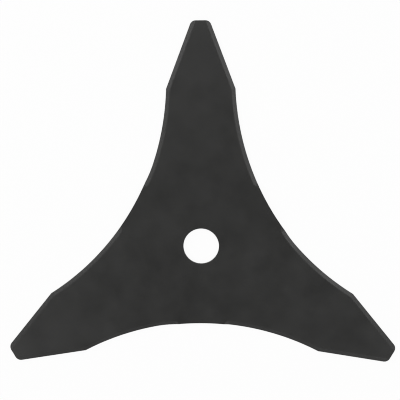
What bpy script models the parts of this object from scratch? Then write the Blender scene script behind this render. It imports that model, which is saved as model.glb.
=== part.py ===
"""Brush cutter blade: a flat steel plate with three tapering arms and a round arbor hole.

The plate is sheared to its outline, and both long sides of every arm are then ground to an edge
from both faces. The model follows the same order: a flat outline gives the blank, a V-shaped
groove run along each side grinds both bevels at once, and a turned cutter makes the hole.
Metres, +Z up. The origin is on the hole's axis, halfway through the plate, and one arm points
along +Y. Seen from above the blade turns counter-clockwise, so an arm's leading side is on its left
when the arm points away from the viewer.
"""
import math

import bmesh
import bpy
from mathutils import Matrix, Vector

# Driving dimensions, in metres
ARM_COUNT = 3
TIP_RADIUS = 0.125
PLATE_THICKNESS = 0.002

# Arm: a flat end, a straight taper on both sides, then a concave side down to the next arm
TIP_HALF_WIDTH = 0.00504
TIP_CORNER_RADIUS = 0.0031
TAPER_LENGTH = 0.03705
SHOULDER_HALF_WIDTH = 0.01924
BAY_RADIUS = 0.144

# Ground edge: bevels of this width on both faces, with a narrow flat left between them
BEVEL_WIDTH = 0.0023
EDGE_LAND = 0.0003
# The wheel leaves the middle of every bay as it was sheared, and lifts off in a tight turn
UNGROUND_HALF_LENGTH = 0.016
LIFT_RADIUS = 0.001
# On the leading side it digs in over this length before it lifts off, and leaves its own radius
LEADING_DIG_LENGTH = 0.010
WHEEL_RADIUS = 0.065

# Arbor hole
HOLE_RADIUS = 0.010
HOLE_RIM_CHAMFER = 0.0002

# How far a cutter runs past the steel that it cuts
CUTTER_CLEARANCE = 0.0002
CUTTER_OVERRUN = 0.003

# Facets: longest side and widest turn
FACET_LENGTH = 0.0015
FACET_TURN = math.radians(9.0)
HOLE_FACETS = 96
SHARP_ANGLE = math.radians(15.0)
# Faces that turn less than this are one flat face, and points this close are one point
FLAT_ANGLE = math.radians(0.1)
MERGE_DISTANCE = 1e-6

# Finish: satin black paint over steel
PAINT_COLOUR = (0.030, 0.030, 0.029, 1.0)
PAINT_ROUGHNESS = 0.45


def direction(angle):
    """Unit vector in the plate's plane."""
    return Vector((math.cos(angle), math.sin(angle)))


def bearing(centre, point):
    """Angle at which a point is seen from a centre, from 0 to a full turn."""
    offset = point - centre
    return math.atan2(offset.y, offset.x) % math.tau


def corner_angle(near, other, opposite):
    """Angle of a triangle between two sides, from the length of the side across from it."""
    return math.acos((near * near + other * other - opposite * opposite) / (2.0 * near * other))


def arc(centre, radius, start, turn, steps):
    """Points of an arc that makes this turn with each step, both ends included."""
    return [centre + direction(start + turn * i) * radius for i in range(steps + 1)]


def steps_for(length, turn):
    """How many facets an arc of this length and turn gets."""
    return max(1, math.ceil(length / FACET_LENGTH), math.ceil(abs(turn) / FACET_TURN))


class ArmSide:
    """One long side of the arm along +Y, drawn at positive x, from the bay's middle to the tip."""

    def __init__(self, dig_length):
        self.tip = Vector((TIP_HALF_WIDTH, TIP_RADIUS))
        self.shoulder = Vector((SHOULDER_HALF_WIDTH, TIP_RADIUS - TAPER_LENGTH))
        self.along_taper = (self.tip - self.shoulder).normalized()
        self.taper_outward = Vector((self.along_taper.y, -self.along_taper.x))

        # The sheared bay: an arc on the line halfway between two arms
        bay_line = direction(math.pi / 2.0 - math.pi / ARM_COUNT)
        reach = self.shoulder.dot(bay_line)
        across_squared = self.shoulder.length_squared - reach * reach
        self.bay_centre = bay_line * (reach + math.sqrt(BAY_RADIUS ** 2 - across_squared))
        self.middle_bearing = bearing(self.bay_centre, Vector((0.0, 0.0)))
        self.unground_turn = -UNGROUND_HALF_LENGTH / BAY_RADIUS

        lift_off_bearing = self.middle_bearing + self.unground_turn
        self.lift_off = self.bay_centre + direction(lift_off_bearing) * BAY_RADIUS

        # The ground bay: the wheel's own arc from the lift-off, if it dug in there, and then an
        # arc of the bay's radius, which leaves it without a corner and ends at the shoulder. The
        # centre of that second arc is found as seen from the lift-off, and then swung into place.
        self.dig_turn = dig_length / WHEEL_RADIUS
        self.dig_steps = steps_for(dig_length, self.dig_turn)
        radius_step = BAY_RADIUS - WHEEL_RADIUS
        unswung = direction(0.0) * -WHEEL_RADIUS - direction(-self.dig_turn) * radius_step
        way = self.shoulder - self.lift_off
        aside = corner_angle(unswung.length, way.length, BAY_RADIUS)
        origin = Vector((0.0, 0.0))
        self.dig_start = bearing(origin, way) - aside - bearing(origin, unswung)
        self.wheel_centre = self.lift_off - direction(self.dig_start) * WHEEL_RADIUS
        self.ground_start = (self.dig_start - self.dig_turn) % math.tau
        self.ground_centre = self.wheel_centre - direction(self.ground_start) * radius_step
        ground_end = bearing(self.ground_centre, self.shoulder)
        ground_turn = self.ground_start - ground_end
        self.ground_steps = steps_for(ground_turn * BAY_RADIUS, ground_turn)
        self.facet_turn = ground_turn / self.ground_steps

    def sheared_bay(self):
        """The bay's middle stretch, which the wheel never touches, without its last point."""
        steps = steps_for(UNGROUND_HALF_LENGTH, self.unground_turn)
        turn = self.unground_turn / steps
        return arc(self.bay_centre, BAY_RADIUS, self.middle_bearing, turn, steps - 1)

    def ground_bay(self):
        """The bay's ground stretch, up to the shoulder."""
        centre = self.ground_centre
        points = arc(centre, BAY_RADIUS, self.ground_start, -self.facet_turn, self.ground_steps)
        if self.dig_turn > 0.0:
            turn = -self.dig_turn / self.dig_steps
            dug = arc(self.wheel_centre, WHEEL_RADIUS, self.dig_start, turn, self.dig_steps)
            points = dug[:-1] + points
        return points

    def tip_corner(self):
        """The rounded corner between the taper and the arm's flat end."""
        lean = math.atan2(self.taper_outward.y, self.taper_outward.x)
        inset = TIP_CORNER_RADIUS * (1.0 - math.sin(lean)) / math.cos(lean)
        centre = Vector((TIP_HALF_WIDTH - inset, TIP_RADIUS - TIP_CORNER_RADIUS))
        turn = math.pi / 2.0 - lean
        steps = steps_for(turn * TIP_CORNER_RADIUS, turn)
        return arc(centre, TIP_CORNER_RADIUS, lean, turn / steps, steps)

    def outline(self):
        return self.sheared_bay() + self.ground_bay() + self.tip_corner()


def blade_outline(trailing, leading):
    """Corner points of the whole plate, counter-clockwise from the middle of one bay."""
    left = [Vector((-point.x, point.y)) for point in leading.outline()]
    arm = trailing.outline() + left[:0:-1]
    points = []
    for index in range(ARM_COUNT):
        turn = Matrix.Rotation(math.tau * index / ARM_COUNT, 2)
        points += [turn @ point for point in arm]
    return points


def plate_blank(points):
    """The sheared plate as a closed mesh, from a flat curve."""
    curve = bpy.data.curves.new("blade_outline", "CURVE")
    curve.dimensions = "2D"
    curve.fill_mode = "BOTH"
    curve.extrude = PLATE_THICKNESS / 2.0
    spline = curve.splines.new("POLY")
    spline.points.add(len(points) - 1)
    for spot, point in zip(spline.points, points):
        spot.co = (point.x, point.y, 0.0, 1.0)
    spline.use_cyclic_u = True

    outline = bpy.data.objects.new("blade_outline", curve)
    bpy.context.scene.collection.objects.link(outline)
    bpy.context.view_layer.update()
    evaluated = outline.evaluated_get(bpy.context.evaluated_depsgraph_get())
    mesh = bpy.data.meshes.new_from_object(evaluated)
    mesh.name = "blade"
    bpy.data.objects.remove(outline)
    bpy.data.curves.remove(curve)

    shape = bmesh.new()
    shape.from_mesh(mesh)
    bmesh.ops.remove_doubles(shape, verts=shape.verts, dist=MERGE_DISTANCE)
    bmesh.ops.recalc_face_normals(shape, faces=shape.faces)
    shape.to_mesh(mesh)
    shape.free()
    return mesh


def groove_face(shape, edge_point, inward):
    """Section of the grinding groove: a V that lies open to the steel, as one upright face."""
    slope = BEVEL_WIDTH / ((PLATE_THICKNESS - EDGE_LAND) / 2.0)
    height = PLATE_THICKNESS / 2.0 + CUTTER_CLEARANCE
    depth = (height - EDGE_LAND / 2.0) * slope
    bottom = -EDGE_LAND / 2.0 * slope
    back = bottom - CUTTER_CLEARANCE
    section = [(back, -height), (depth, -height), (bottom, 0.0), (depth, height), (back, height)]
    corners = []
    for into_steel, level in section:
        spot = edge_point + inward * into_steel
        corners.append(shape.verts.new((spot.x, spot.y, level)))
    return shape.faces.new(corners)


def swing(shape, geometry, centre, turn, steps):
    """Carry a face round an upright axis, and return the face at the far end."""
    result = bmesh.ops.spin(
        shape,
        geom=geometry,
        cent=(centre.x, centre.y, 0.0),
        axis=(0.0, 0.0, 1.0),
        angle=turn,
        steps=steps,
    )
    return result["geom_last"]


def finished_cutter(name, shape, mirrored):
    """Mesh of a cutter drawn at positive x, or of its mirror image."""
    if mirrored:
        flip = Matrix.Scale(-1.0, 4, (1.0, 0.0, 0.0))
        bmesh.ops.transform(shape, matrix=flip, verts=shape.verts)
    bmesh.ops.recalc_face_normals(shape, faces=shape.faces)
    mesh = bpy.data.meshes.new(name)
    shape.to_mesh(mesh)
    shape.free()
    return mesh


def taper_cutter(name, side, mirrored):
    """A straight groove along the taper, off the arm's end and past the shoulder."""
    shape = bmesh.new()
    start = side.tip + side.along_taper * CUTTER_OVERRUN
    face = groove_face(shape, start, -side.taper_outward)
    run = (side.shoulder - side.tip).length + 2.0 * CUTTER_OVERRUN
    made = bmesh.ops.extrude_face_region(shape, geom=[face])["geom"]
    far_corners = [item for item in made if isinstance(item, bmesh.types.BMVert)]
    travel = side.along_taper.to_3d() * -run
    bmesh.ops.translate(shape, verts=far_corners, vec=travel)
    return finished_cutter(name, shape, mirrored)


def bay_cutter(name, side, mirrored):
    """A groove round the bay, from past the shoulder to where the wheel turns away and lifts off."""
    shape = bmesh.new()
    steps = side.ground_steps + math.ceil(CUTTER_OVERRUN / BAY_RADIUS / side.facet_turn)
    first = direction(side.ground_start - side.facet_turn * steps)
    face = groove_face(shape, side.ground_centre + first * BAY_RADIUS, first)
    geometry = [face, *face.edges, *face.verts]
    end = swing(shape, geometry, side.ground_centre, side.facet_turn * steps, steps)
    if side.dig_turn > 0.0:
        end = swing(shape, end, side.wheel_centre, side.dig_turn, side.dig_steps)

    # The lift-off axis stands in the open bay, so the groove turns away from the steel
    to_open = -direction(side.dig_start)
    lift_axis = side.lift_off + to_open * LIFT_RADIUS
    quarter = math.pi / 2.0
    reach = LIFT_RADIUS + BEVEL_WIDTH
    swing(shape, end, lift_axis, quarter, steps_for(quarter * reach, quarter))
    return finished_cutter(name, shape, mirrored)


def hole_cutter():
    """A turned plug with flared ends, which makes the arbor hole and breaks both of its rims."""
    half = PLATE_THICKNESS / 2.0
    flare = HOLE_RIM_CHAMFER + CUTTER_CLEARANCE
    profile = [
        (0.0, half + CUTTER_CLEARANCE),
        (HOLE_RADIUS + flare, half + CUTTER_CLEARANCE),
        (HOLE_RADIUS, half - HOLE_RIM_CHAMFER),
        (HOLE_RADIUS, HOLE_RIM_CHAMFER - half),
        (HOLE_RADIUS + flare, -half - CUTTER_CLEARANCE),
        (0.0, -half - CUTTER_CLEARANCE),
    ]
    mesh = bpy.data.meshes.new("hole_cutter")
    spots = [(radius, 0.0, level) for radius, level in profile]
    links = [(index, index + 1) for index in range(len(spots) - 1)]
    mesh.from_pydata(spots, links, [])
    cutter = bpy.data.objects.new("hole_cutter", mesh)
    screw = cutter.modifiers.new("turned", "SCREW")
    screw.axis = "Z"
    screw.steps = HOLE_FACETS
    screw.render_steps = HOLE_FACETS
    screw.use_merge_vertices = True
    screw.merge_threshold = MERGE_DISTANCE
    return cutter


def settle(blade):
    """Apply the cuts, rebuild the flat faces from few clean triangles and shade the round ones."""
    weld = blade.modifiers.new("weld", "WELD")
    weld.merge_threshold = MERGE_DISTANCE
    flatten = blade.modifiers.new("flatten", "DECIMATE")
    flatten.decimate_type = "DISSOLVE"
    flatten.angle_limit = FLAT_ANGLE
    triangles = blade.modifiers.new("triangles", "TRIANGULATE")
    triangles.ngon_method = "BEAUTY"

    bpy.context.view_layer.update()
    evaluated = blade.evaluated_get(bpy.context.evaluated_depsgraph_get())
    finished = bpy.data.meshes.new_from_object(evaluated)
    blank = blade.data
    blade.modifiers.clear()
    blade.data = finished
    bpy.data.meshes.remove(blank)
    finished.name = "blade"
    finished.shade_smooth()
    finished.set_sharp_from_angle(angle=SHARP_ANGLE)


def black_paint():
    """Satin black paint, sprayed on after the edges are ground."""
    material = bpy.data.materials.new("black_painted_steel")
    material.use_nodes = True
    surface = material.node_tree.nodes["Principled BSDF"]
    surface.inputs["Base Color"].default_value = PAINT_COLOUR
    surface.inputs["Roughness"].default_value = PAINT_ROUGHNESS
    surface.inputs["Metallic"].default_value = 0.0
    return material


def main():
    for item in list(bpy.data.objects):
        bpy.data.objects.remove(item)
    parts = bpy.data.collections.new("brush_cutter_blade")
    cutters = bpy.data.collections.new("cutters")
    bpy.context.scene.collection.children.link(parts)
    bpy.context.scene.collection.children.link(cutters)

    trailing = ArmSide(0.0)
    leading = ArmSide(LEADING_DIG_LENGTH)
    mesh = plate_blank(blade_outline(trailing, leading))
    mesh.materials.append(black_paint())
    blade = bpy.data.objects.new("blade", mesh)
    parts.objects.link(blade)

    tools = [hole_cutter()]
    for label, side, mirrored in (("trailing", trailing, False), ("leading", leading, True)):
        for make in (taper_cutter, bay_cutter):
            name = f"{label}_{make.__name__}"
            shared = make(name, side, mirrored)
            for index in range(ARM_COUNT):
                tool = bpy.data.objects.new(f"{name}_{index + 1}", shared)
                tool.rotation_euler.z = math.tau * index / ARM_COUNT
                tools.append(tool)

    for tool in tools:
        cutters.objects.link(tool)
        tool.hide_render = True
        tool.display_type = "WIRE"
        cut = blade.modifiers.new(tool.name, "BOOLEAN")
        cut.operation = "DIFFERENCE"
        cut.solver = "EXACT"
        cut.object = tool

    settle(blade)


main()
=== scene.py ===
# %% [markdown]
# This lesson dresses a brush cutter blade: a flat steel plate with three tapering arms, ground to
# an edge along both sides of every arm and sprayed satin black. The steel itself comes from the
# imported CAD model, which fixes every size. Blender adds what the CAD leaves out: corners that
# grinding, deburring and paint have rounded, the paint itself, the marks that show through it, a
# studio and a camera. The frame is in metres with +Z up. The origin is on the arbor hole's axis,
# halfway through the plate, and one arm points along +Y.

# %% Load the frame
import math

import bpy
from mathutils import Euler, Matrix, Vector
from mathutils.kdtree import KDTree


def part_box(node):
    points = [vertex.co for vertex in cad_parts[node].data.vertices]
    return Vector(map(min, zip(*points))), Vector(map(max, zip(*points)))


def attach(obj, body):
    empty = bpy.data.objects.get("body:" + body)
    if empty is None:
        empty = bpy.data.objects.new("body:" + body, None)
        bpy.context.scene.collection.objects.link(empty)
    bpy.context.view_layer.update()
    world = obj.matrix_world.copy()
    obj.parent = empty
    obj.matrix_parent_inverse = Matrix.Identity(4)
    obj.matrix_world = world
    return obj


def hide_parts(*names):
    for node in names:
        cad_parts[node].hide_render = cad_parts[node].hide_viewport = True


MM = 0.001

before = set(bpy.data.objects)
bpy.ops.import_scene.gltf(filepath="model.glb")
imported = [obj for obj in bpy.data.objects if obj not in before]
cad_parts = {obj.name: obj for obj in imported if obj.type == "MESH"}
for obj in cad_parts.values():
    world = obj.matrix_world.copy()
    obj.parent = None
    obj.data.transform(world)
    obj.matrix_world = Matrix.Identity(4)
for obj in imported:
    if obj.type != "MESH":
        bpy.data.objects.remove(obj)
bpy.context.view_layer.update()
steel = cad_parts["blade"]
low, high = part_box("blade")
print("plate", round((high.z - low.z) / MM, 2), "mm thick,", len(steel.data.polygons), "triangles")

# %% [markdown]
# The camera comes first, because every later choice is judged through it. The photograph looks
# down on the blade from about 42 cm, and not quite squarely: the camera stands above the top arm
# and a little to the right, so it leans a few degrees. A camera without rotation already looks
# down -Z with +Y up in the picture, so only those small leans are written. The lens follows from
# the focal length in pixels, and the place from the point that the camera aims at on the plate.

# %% Camera
PICTURE_WIDTH = 400
FOCAL_PIXELS = 750.0
SENSOR_WIDTH = 36.0
AIM = Vector((-0.60, 26.12, 0.0)) * MM
DISTANCE = 420.93 * MM
LEAN_TO_TOP = math.radians(5.771)
LEAN_TO_RIGHT = math.radians(1.446)
ROLL = math.radians(-0.181)
NEAREST_SEEN = 0.01
FARTHEST_SEEN = 500.0

camera_data = bpy.data.cameras.new("camera")
camera_data.sensor_width = SENSOR_WIDTH
camera_data.lens = SENSOR_WIDTH * FOCAL_PIXELS / PICTURE_WIDTH
camera_data.clip_start = NEAREST_SEEN
camera_data.clip_end = FARTHEST_SEEN
camera = bpy.data.objects.new("camera", camera_data)
bpy.context.scene.collection.objects.link(camera)
camera.rotation_euler = Euler((-LEAN_TO_TOP, LEAN_TO_RIGHT, ROLL), "XYZ")
back = camera.rotation_euler.to_matrix() @ Vector((0.0, 0.0, 1.0))
camera.location = AIM + back * DISTANCE
bpy.context.scene.camera = camera
print("camera at", [round(value / MM, 1) for value in camera.location], "mm")

# %% [markdown]
# The CAD solid is a mesh of triangles, and a Bevel modifier needs something cleaner. A copy of the
# node is merged into one skin, and triangles that lie flat against each other are joined into whole
# faces, so that the only edges left are those where the steel really turns. The merging distance is
# as long as the rounding of the corners is wide, because where a bevel runs out, the cuts cross and
# leave a few edges that are shorter than that. Rounding them would fold the skin over itself. The
# dressed copy takes the original node's place at the end.

# %% One skin with whole faces
MERGE_DISTANCE = 0.1 * MM
FLAT_ANGLE = math.radians(0.1)


def select_only(target):
    """Make one object the only selected one, and the active one."""
    bpy.ops.object.select_all(action="DESELECT")
    target.select_set(True)
    bpy.context.view_layer.objects.active = target


select_only(steel)
bpy.ops.object.duplicate()
blade = bpy.context.view_layer.objects.active
blade.name = "painted_blade"
blade.data.name = "painted_blade"

bpy.ops.object.mode_set(mode="EDIT")
bpy.ops.mesh.select_all(action="SELECT")
bpy.ops.mesh.customdata_custom_splitnormals_clear()
bpy.ops.mesh.remove_doubles(threshold=MERGE_DISTANCE)
bpy.ops.mesh.dissolve_limited(angle_limit=FLAT_ANGLE)
bpy.ops.object.mode_set(mode="OBJECT")
print("one skin with", len(blade.data.vertices), "corners and", len(blade.data.polygons), "faces")

# %% [markdown]
# Three kinds of surface lie under the paint, and each was made another way: the rolled faces of the
# sheet, the bevels that the wheel ground, and the sheared edges in the bays, at the arm ends and
# in the hole. They get a material slot each. A face's slope tells which one it is: the rolled faces
# are level, the sheared edges are upright, and all that lies between is ground. This is done before
# the corners are rounded, while every face still has one clear slope. The slots stay empty until
# the paint is mixed, and they are made first, because clearing a mesh's slots sets all its faces to
# the first one.

# %% One material slot for each way the surface was made
LEVEL_SLOPE = 0.999
UPRIGHT_SLOPE = 0.05
ROLLED, GROUND, SHEARED = range(3)


def count_faces(mesh):
    """How many faces are rolled, ground and sheared."""
    kinds = [face.material_index for face in mesh.polygons]
    return [kinds.count(kind) for kind in (ROLLED, GROUND, SHEARED)]


blade.data.materials.clear()
for _ in (ROLLED, GROUND, SHEARED):
    blade.data.materials.append(None)
for face in blade.data.polygons:
    slope = abs(face.normal.z)
    if slope > LEVEL_SLOPE:
        kind = ROLLED
    elif slope < UPRIGHT_SLOPE:
        kind = SHEARED
    else:
        kind = GROUND
    face.material_index = kind
print("faces rolled, ground, sheared:", count_faces(blade.data))

# %% [markdown]
# The CAD solid has knife-sharp corners, which no real part has, and a corner that is truly sharp
# catches no light, so it looks like cut paper. One Bevel modifier will round them all, because it
# multiplies its width by a weight that every edge carries. A weight holds for a whole edge, though,
# and along the straight taper the ridge between bevel and face is one long edge, whose rounding has
# to narrow close to the arm's end. So each arm is first cut across a few times there, by planes
# square to the arm. The cuts leave the shape as it is.

# %% Cut each arm across near its end
ARMS = 3
CUTS_FROM_THE_TIP = (0.6 * MM, 1.2 * MM, 1.9 * MM, 2.6 * MM)

bpy.ops.object.mode_set(mode="EDIT")
for arm in range(ARMS):
    outward = Vector((0.0, 1.0, 0.0))
    outward.rotate(Euler((0.0, 0.0, math.tau * arm / ARMS)))
    for depth in CUTS_FROM_THE_TIP:
        bpy.ops.mesh.select_all(action="SELECT")
        bpy.ops.mesh.bisect(plane_co=outward * (high.y - depth), plane_no=outward)
bpy.ops.object.mode_set(mode="OBJECT")
print("skin after the cuts:", len(blade.data.polygons), "faces")

# %% [markdown]
# A belt takes the burr off a corner, and paint draws back from it and rounds what is left: a tenth
# of a millimetre, which is also all that the narrow flat along the ground edge has room for. The
# ridge where a bevel meets the rolled face is different. It turns by only 20 degrees, the wheel
# gives a little as it leaves the steel, and paint flows over the rest, so it is a soft band most of
# a millimetre wide, and the pale bevel fades into the black face. Where a ridge runs out at a
# sheared edge there is no room for that band, so its weight falls to nothing with the distance to
# the nearest sheared corner, which a search tree finds quickly.

# %% How wide each edge is rounded
RIDGE_WIDTH = 0.4 * MM
CORNER_WIDTH = 0.1 * MM
CORNER_ANGLE = math.radians(25.0)
RIDGE_NARROWS_FROM = 2.1 * MM
RIDGE_IS_SHARP_AT = 0.7 * MM

faces_beside = {}
sheared_corners = set()
for face in blade.data.polygons:
    for edge_key in face.edge_keys:
        faces_beside.setdefault(edge_key, []).append(face)
    if face.material_index == SHEARED:
        sheared_corners.update(face.vertices)
nearest_sheared = KDTree(len(sheared_corners))
for corner in sheared_corners:
    nearest_sheared.insert(blade.data.vertices[corner].co, corner)
nearest_sheared.balance()

weights = blade.data.attributes.new("bevel_weight_edge", "FLOAT", "EDGE")
ridges, corners = 0, 0
for edge in blade.data.edges:
    one, other = faces_beside[edge.key]
    if {one.material_index, other.material_index} == {ROLLED, GROUND}:
        start, end = (blade.data.vertices[corner].co for corner in edge.vertices)
        gap = nearest_sheared.find((start + end) / 2.0)[2]
        share = (gap - RIDGE_IS_SHARP_AT) / (RIDGE_NARROWS_FROM - RIDGE_IS_SHARP_AT)
        weights.data[edge.index].value = min(max(share, 0.0), 1.0)
        ridges += 1
    elif one.normal.angle(other.normal) > CORNER_ANGLE:
        weights.data[edge.index].value = CORNER_WIDTH / RIDGE_WIDTH
        corners += 1
print("ridge edges:", ridges, "corner edges:", corners)

# %% [markdown]
# The modifier is applied, because the next steps need the finished faces. Weighted normals then
# keep the large faces flat in the shading, so that only the small rounds turn the light.

# %% Round the edges
ROUND_SEGMENTS = 4
FULL_WEIGHT = 100

rounding = blade.modifiers.new("rounding", "BEVEL")
rounding.width = RIDGE_WIDTH
rounding.segments = ROUND_SEGMENTS
rounding.limit_method = "WEIGHT"
rounding.use_clamp_overlap = False
weighting = blade.modifiers.new("weighting", "WEIGHTED_NORMAL")
weighting.weight = FULL_WEIGHT
weighting.keep_sharp = False

select_only(blade)
bpy.ops.object.shade_smooth()
bpy.ops.object.modifier_apply(modifier=rounding.name)
bpy.ops.object.modifier_apply(modifier=weighting.name)
print("rounded skin has", len(blade.data.polygons), "faces")

# %% [markdown]
# Materials are built from nodes, and two helpers keep that readable. The first turns a colour as a
# paint chart or a picture editor gives it into the linear value that Blender computes with. The
# second adds a node together with its settings and links.

# %% Helpers for materials


def paint_chart(hex_colour):
    """Linear colour for an sRGB hex value such as 303030."""
    channels = [int(hex_colour[i : i + 2], 16) / 255.0 for i in (0, 2, 4)]
    linear = [c / 12.92 if c <= 0.04045 else ((c + 0.055) / 1.055) ** 2.4 for c in channels]
    return (*linear, 1.0)


def add_node(tree, kind, settings=None, **inputs):
    """Add a node, set its properties, and set or link its inputs by name or, as _0, by number."""
    node = tree.nodes.new(kind)
    for name, value in (settings or {}).items():
        setattr(node, name, value)
    for name, value in inputs.items():
        key = int(name[1:]) if name[0] == "_" else name.replace("_", " ")
        if isinstance(value, bpy.types.NodeSocket):
            tree.links.new(value, node.inputs[key])
        else:
            node.inputs[key].default_value = value
    return node


print("808080 on a chart is", round(paint_chart("808080")[0], 3), "of white in linear values")

# %% [markdown]
# Under a paint film this thin the steel still shows. Its marks are so shallow, and a mesh fine
# enough to hold them would be so large, that they are bumps, which only tilt the shading. All kinds
# of marks take the same three steps. The coordinates are scaled, and a small factor draws the
# pattern out along that axis. Noise has a stated distance between its crests, and the bump has a
# stated height. Noise stays near the middle of its range, so most crests rise by a little under
# half that height.

# %% Marks in a surface
UNSTRETCHED = (1.0, 1.0, 1.0)


def marks(tree, where, spacing, height, stretch=UNSTRETCHED, below=None, strength=1.0):
    """Normals of a surface with marks up to this high, on top of the marks below them."""
    drawn_out = add_node(tree, "ShaderNodeMapping", Vector=where, Scale=stretch)
    pattern = add_node(
        tree,
        "ShaderNodeTexNoise",
        Vector=drawn_out.outputs["Vector"],
        Scale=1.0 / spacing,
    )
    relief = add_node(
        tree,
        "ShaderNodeBump",
        Height=pattern.outputs[0],
        Distance=height,
        Strength=strength,
    )
    if below is not None:
        tree.links.new(below, relief.inputs["Normal"])
    return relief.outputs["Normal"]


# %% [markdown]
# Each of the three surfaces has marks of its own. The sheet was rolled along one arm, which leaves
# long faint waves in the flat faces. They all run one way, so Object coordinates are enough.

# %% Rolled faces
ROLLING_WAVE_SPACING = 2.5 * MM
ROLLING_WAVE_STRETCH = (1.0, 0.08, 1.0)
ROLLING_WAVE_HEIGHT = 0.0012 * MM


def rolled_relief(tree, place):
    """Long faint waves along the direction in which the sheet was rolled."""
    return marks(
        tree,
        place.outputs["Object"],
        ROLLING_WAVE_SPACING,
        ROLLING_WAVE_HEIGHT,
        ROLLING_WAVE_STRETCH,
    )


# %% [markdown]
# The grinding wheel ran along the edge and cut across it, so its marks lie square to the edge
# everywhere, round the curves too, and plain Object coordinates can't follow that. The pattern
# needs a coordinate that runs along the edge: the surface's normal, turned a quarter round the
# upright, points that way, and the dot product with the position measures it. The direction square
# to the edge and the upright are measured in the same way.

# %% Coordinates that follow the edge
UPRIGHT = (0.0, 0.0, 1.0)


def edge_coordinates(tree, place):
    """Coordinates that run along the nearest edge, square to it, and up."""
    quarter_turn = add_node(
        tree,
        "ShaderNodeVectorMath",
        {"operation": "CROSS_PRODUCT"},
        _0=place.outputs["Normal"],
        _1=UPRIGHT,
    )
    edgewise = add_node(
        tree,
        "ShaderNodeVectorMath",
        {"operation": "NORMALIZE"},
        _0=quarter_turn.outputs["Vector"],
    )
    outward = add_node(
        tree,
        "ShaderNodeVectorMath",
        {"operation": "CROSS_PRODUCT"},
        _0=edgewise.outputs["Vector"],
        _1=UPRIGHT,
    )
    joined = add_node(tree, "ShaderNodeCombineXYZ")
    axes = (edgewise.outputs["Vector"], outward.outputs["Vector"], UPRIGHT)
    for axis, measured in zip(axes, joined.inputs):
        distance = add_node(
            tree,
            "ShaderNodeVectorMath",
            {"operation": "DOT_PRODUCT"},
            _0=place.outputs["Object"],
            _1=axis,
        )
        tree.links.new(distance.outputs["Value"], measured)
    return joined.outputs["Vector"]


# %% [markdown]
# The wheel's grit leaves marks about a third of a millimetre apart. That is finer than a pixel of
# the picture, so slow waves of three millimetres, where the wheel chattered, lie under them and
# carry them into it.

# %% Ground bevels
GRIT_SPACING = 0.35 * MM
GRIT_STRETCH = (1.0, 0.06, 0.06)
GRIT_HEIGHT = 0.02 * MM
CHATTER_SPACING = 3.0 * MM
CHATTER_HEIGHT = 0.06 * MM


def ground_relief(tree, place):
    """The wheel's fine marks square to the edge, on slower waves where it chattered."""
    where = edge_coordinates(tree, place)
    chatter = marks(tree, where, CHATTER_SPACING, CHATTER_HEIGHT, GRIT_STRETCH)
    return marks(tree, where, GRIT_SPACING, GRIT_HEIGHT, GRIT_STRETCH, below=chatter)


# %% [markdown]
# A sheared edge has two parts. The tool smeared the upper one upright, and the lower one is where
# the steel tore, so its grain has no direction. A Map Range node on the height lets that grain grow
# from nothing in the upper part to its full depth in the lower one.

# %% Sheared edges
SMEAR_SPACING = 0.3 * MM
SMEAR_STRETCH = (1.0, 1.0, 0.1)
SMEAR_HEIGHT = 0.01 * MM
TEAR_SPACING = 0.25 * MM
TEAR_HEIGHT = 0.04 * MM
TEAR_STARTS = 0.25 * MM
TEAR_FULL = -0.15 * MM


def sheared_relief(tree, place):
    """Upright smears in the upper part of a sheared edge and torn grain in the lower part."""
    where = edge_coordinates(tree, place)
    smears = marks(tree, where, SMEAR_SPACING, SMEAR_HEIGHT, SMEAR_STRETCH)
    position = add_node(tree, "ShaderNodeSeparateXYZ", Vector=place.outputs["Object"])
    torn = add_node(
        tree,
        "ShaderNodeMapRange",
        Value=position.outputs["Z"],
        From_Min=TEAR_FULL,
        From_Max=TEAR_STARTS,
        To_Min=1.0,
        To_Max=0.0,
    )
    return marks(
        tree,
        place.outputs["Object"],
        TEAR_SPACING,
        TEAR_HEIGHT,
        below=smears,
        strength=torn.outputs["Result"],
    )


# %% [markdown]
# Satin black enamel, sprayed straight on the steel. It is a dielectric, so its gloss has the
# usual 4 percent at square view, and the rest of its colour is carbon black. What the eye reads as
# satin is a film that dried before it was level: a fine orange peel, about a millimetre and a half
# from crest to crest and only microns high. The spray was not perfectly even either. Where it
# arrived half dry, the film is duller and a shade greyer, so one slow noise drives the roughness
# and the colour together. It changes over two centimetres, and less and less over shorter
# distances. On the ground bevels and sheared edges the film lies on coarser steel and dries a
# little duller.

# %% Satin black enamel
WET_SPRAY_COLOUR = "1f1f1e"
DRY_SPRAY_COLOUR = "2e2e2d"
SATIN = 0.42
SATIN_ON_GROUND = 0.43
SATIN_ON_SHEARED = 0.50
SATIN_DRIFT = 0.16
DRIFT_SPACING = 20.0 * MM
DRIFT_OCTAVES = 4.0
DRIFT_FALL = 0.6
PEEL_SPACING = 1.5 * MM
PEEL_HEIGHT = 0.0025 * MM


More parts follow.
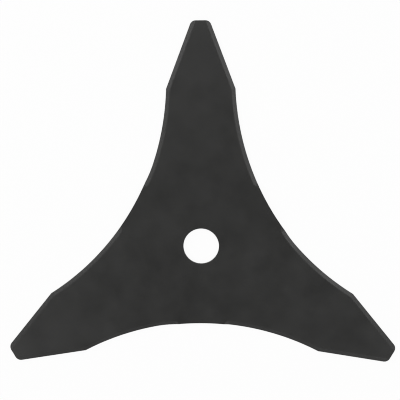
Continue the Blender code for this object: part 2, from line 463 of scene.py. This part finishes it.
def enamel(name, relief, satin):
    """Black enamel over steel with its own relief, and with this roughness on average."""
    material = bpy.data.materials.new(name)
    material.use_nodes = True
    tree = material.node_tree
    tree.nodes.clear()
    place = add_node(tree, "ShaderNodeTexCoord")
    peel = marks(
        tree,
        place.outputs["Object"],
        PEEL_SPACING,
        PEEL_HEIGHT,
        below=relief(tree, place),
    )
    dryness = add_node(
        tree,
        "ShaderNodeTexNoise",
        Vector=place.outputs["Object"],
        Scale=1.0 / DRIFT_SPACING,
        Detail=DRIFT_OCTAVES,
        Roughness=DRIFT_FALL,
    )
    roughness = add_node(
        tree,
        "ShaderNodeMapRange",
        Value=dryness.outputs[0],
        To_Min=satin - SATIN_DRIFT,
        To_Max=satin + SATIN_DRIFT,
    )
    colour = add_node(
        tree,
        "ShaderNodeMix",
        {"data_type": "RGBA"},
        _0=dryness.outputs[0],
        _6=paint_chart(WET_SPRAY_COLOUR),
        _7=paint_chart(DRY_SPRAY_COLOUR),
    )
    surface = add_node(
        tree,
        "ShaderNodeBsdfPrincipled",
        Base_Color=colour.outputs[2],
        Roughness=roughness.outputs["Result"],
        Normal=peel,
    )
    add_node(tree, "ShaderNodeOutputMaterial", Surface=surface.outputs["BSDF"])
    return material


blade.data.materials[ROLLED] = enamel("enamel_on_rolled_face", rolled_relief, SATIN)
blade.data.materials[GROUND] = enamel("enamel_on_ground_bevel", ground_relief, SATIN_ON_GROUND)
blade.data.materials[SHEARED] = enamel("enamel_on_sheared_edge", sheared_relief, SATIN_ON_SHEARED)
print("rounded faces rolled, ground, sheared:", count_faces(blade.data))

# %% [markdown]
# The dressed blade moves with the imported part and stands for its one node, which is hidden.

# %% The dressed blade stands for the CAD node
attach(blade, "root")
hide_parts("blade")
print(blade.name, "stands for the node blade, with", len(blade.data.materials), "finishes")

# %% [markdown]
# The blade lies on a white table: a plane just below it, which is so large that its far side is at
# the horizon in a picture taken from low down.

# %% White table
TABLE_SIZE = 200.0
TABLE_GAP = 0.05 * MM

bpy.ops.object.select_all(action="DESELECT")
bpy.ops.mesh.primitive_plane_add(size=TABLE_SIZE, location=(0.0, 0.0, low.z - TABLE_GAP))
table = bpy.context.view_layer.objects.active
table.name = "table"
print("table top at", round(table.location.z / MM, 2), "mm")

# %% [markdown]
# The picture's ground is pure white with no visible shadow. A table that only glows would give
# that, but it would light the blade like a lamp, and the blade would seem to float. So the Light
# Path node tells the rays apart. What the camera and the reflections see of the table is mostly
# plain white, with a small share of its real shading, so that the blade still stands on something.
# All other light falls on an ordinary white board.

# %% White board
TABLE_COLOUR = "f6f6f6"
PLAIN_WHITE = "ffffff"
SHADING_SHARE = 0.06

white_board = bpy.data.materials.new("white_board")
white_board.use_nodes = True
tree = white_board.node_tree
tree.nodes.clear()
board = add_node(tree, "ShaderNodeBsdfDiffuse", Color=paint_chart(TABLE_COLOUR))
glow = add_node(tree, "ShaderNodeEmission", Color=paint_chart(PLAIN_WHITE), Strength=1.0)
ray = add_node(tree, "ShaderNodeLightPath")
seen = ray.outputs["Is Camera Ray"]
for kind_of_ray in ("Is Glossy Ray", "Is Transmission Ray"):
    either = add_node(
        tree,
        "ShaderNodeMath",
        {"operation": "MAXIMUM"},
        _0=seen,
        _1=ray.outputs[kind_of_ray],
    )
    seen = either.outputs["Value"]
plain_share = add_node(
    tree,
    "ShaderNodeMath",
    {"operation": "MULTIPLY"},
    _0=seen,
    _1=1.0 - SHADING_SHARE,
)
mixed = add_node(
    tree,
    "ShaderNodeMixShader",
    _0=plain_share.outputs["Value"],
    _1=board.outputs["BSDF"],
    _2=glow.outputs["Emission"],
)
add_node(tree, "ShaderNodeOutputMaterial", Surface=mixed.outputs["Shader"])
table.data.materials.append(white_board)
print("white board keeps", SHADING_SHARE, "of its real shading")

# %% [markdown]
# A black plate shows its light more than itself. The flat faces mirror what hangs straight above
# them, which is dim, so they stay black. The bevels lean outwards by about 20 degrees and mirror
# what stands twice that far from the upright, so the soft boxes round the table draw the pale line
# along each arm. The two strongest stand behind the blade, to its left and to its right, and the
# front gets less, so the bevels that face the bottom of the picture stay as dark as the plate.

# %% Soft boxes
BOX_SIZE = 0.45
BOX_DISTANCE = 0.9
# Name, azimuth in degrees (0 is +X, 90 is +Y), elevation in degrees, power in watts.
SOFT_BOXES = (
    ("back_left_box", 150.0, 25.0, 2.4),
    ("left_box", 215.0, 41.0, 1.25),
    ("front_right_box", 310.0, 38.0, 1.05),
    ("right_box", 30.0, 45.0, 1.85),
    ("high_box", 120.0, 60.0, 0.8),
)


def soft_box(name, azimuth, elevation, watts):
    """Add a square area lamp that faces the blade."""
    lamp = bpy.data.lights.new(name, "AREA")
    lamp.shape = "SQUARE"
    lamp.size = BOX_SIZE
    lamp.energy = watts
    towards = Vector((1.0, 0.0, 0.0))
    towards.rotate(Euler((0.0, -math.radians(elevation), math.radians(azimuth)), "XYZ"))
    holder = bpy.data.objects.new(name, lamp)
    holder.location = towards * BOX_DISTANCE
    holder.rotation_euler = towards.to_track_quat("Z", "Y").to_euler()
    bpy.context.scene.collection.objects.link(holder)


for box in SOFT_BOXES:
    soft_box(*box)
print(len(SOFT_BOXES), "soft boxes,", BOX_DISTANCE, "m from the arbor hole")

# %% [markdown]
# The room is a light tent with an open top: white cloth near the horizon, which also makes the
# background of a picture taken from low down, and dim above. One Map Range node draws that
# from the height of the direction, which is the sine of its elevation.

# %% The tent round the table
CLOTH_STRENGTH = 0.96
OPENING_STRENGTH = 0.2
CLOTH_FADES_FROM = math.radians(8.0)
CLOTH_FADES_TO = math.radians(40.0)

tent = bpy.data.worlds.new("tent")
tent.use_nodes = True
bpy.context.scene.world = tent
tree = tent.node_tree
tree.nodes.clear()
direction = add_node(tree, "ShaderNodeTexCoord")
height = add_node(tree, "ShaderNodeSeparateXYZ", Vector=direction.outputs["Generated"])
fade = add_node(
    tree,
    "ShaderNodeMapRange",
    {"interpolation_type": "SMOOTHSTEP"},
    Value=height.outputs["Z"],
    From_Min=math.sin(CLOTH_FADES_FROM),
    From_Max=math.sin(CLOTH_FADES_TO),
    To_Min=CLOTH_STRENGTH,
    To_Max=OPENING_STRENGTH,
)
cloth = add_node(
    tree,
    "ShaderNodeBackground",
    Color=paint_chart(PLAIN_WHITE),
    Strength=fade.outputs["Result"],
)
add_node(tree, "ShaderNodeOutputWorld", Surface=cloth.outputs["Background"])
print("tent from", CLOTH_STRENGTH, "of white at the horizon to", OPENING_STRENGTH, "overhead")

# %% [markdown]
# Two settings of the picture itself come next. The Standard view shows colours as they are
# written. The other one is for the photograph's crisp outline: Blender spreads each pixel over its
# neighbours to hide the stair steps, one and a half pixels wide unless it is told otherwise, and a
# little less than that is as crisp as the photograph and still has no steps.

# %% Picture settings
PIXEL_SPREAD = 1.1

bpy.context.scene.view_settings.view_transform = "Standard"
bpy.context.scene.cycles.filter_width = PIXEL_SPREAD
print("a pixel is spread over", PIXEL_SPREAD, "pixel widths")
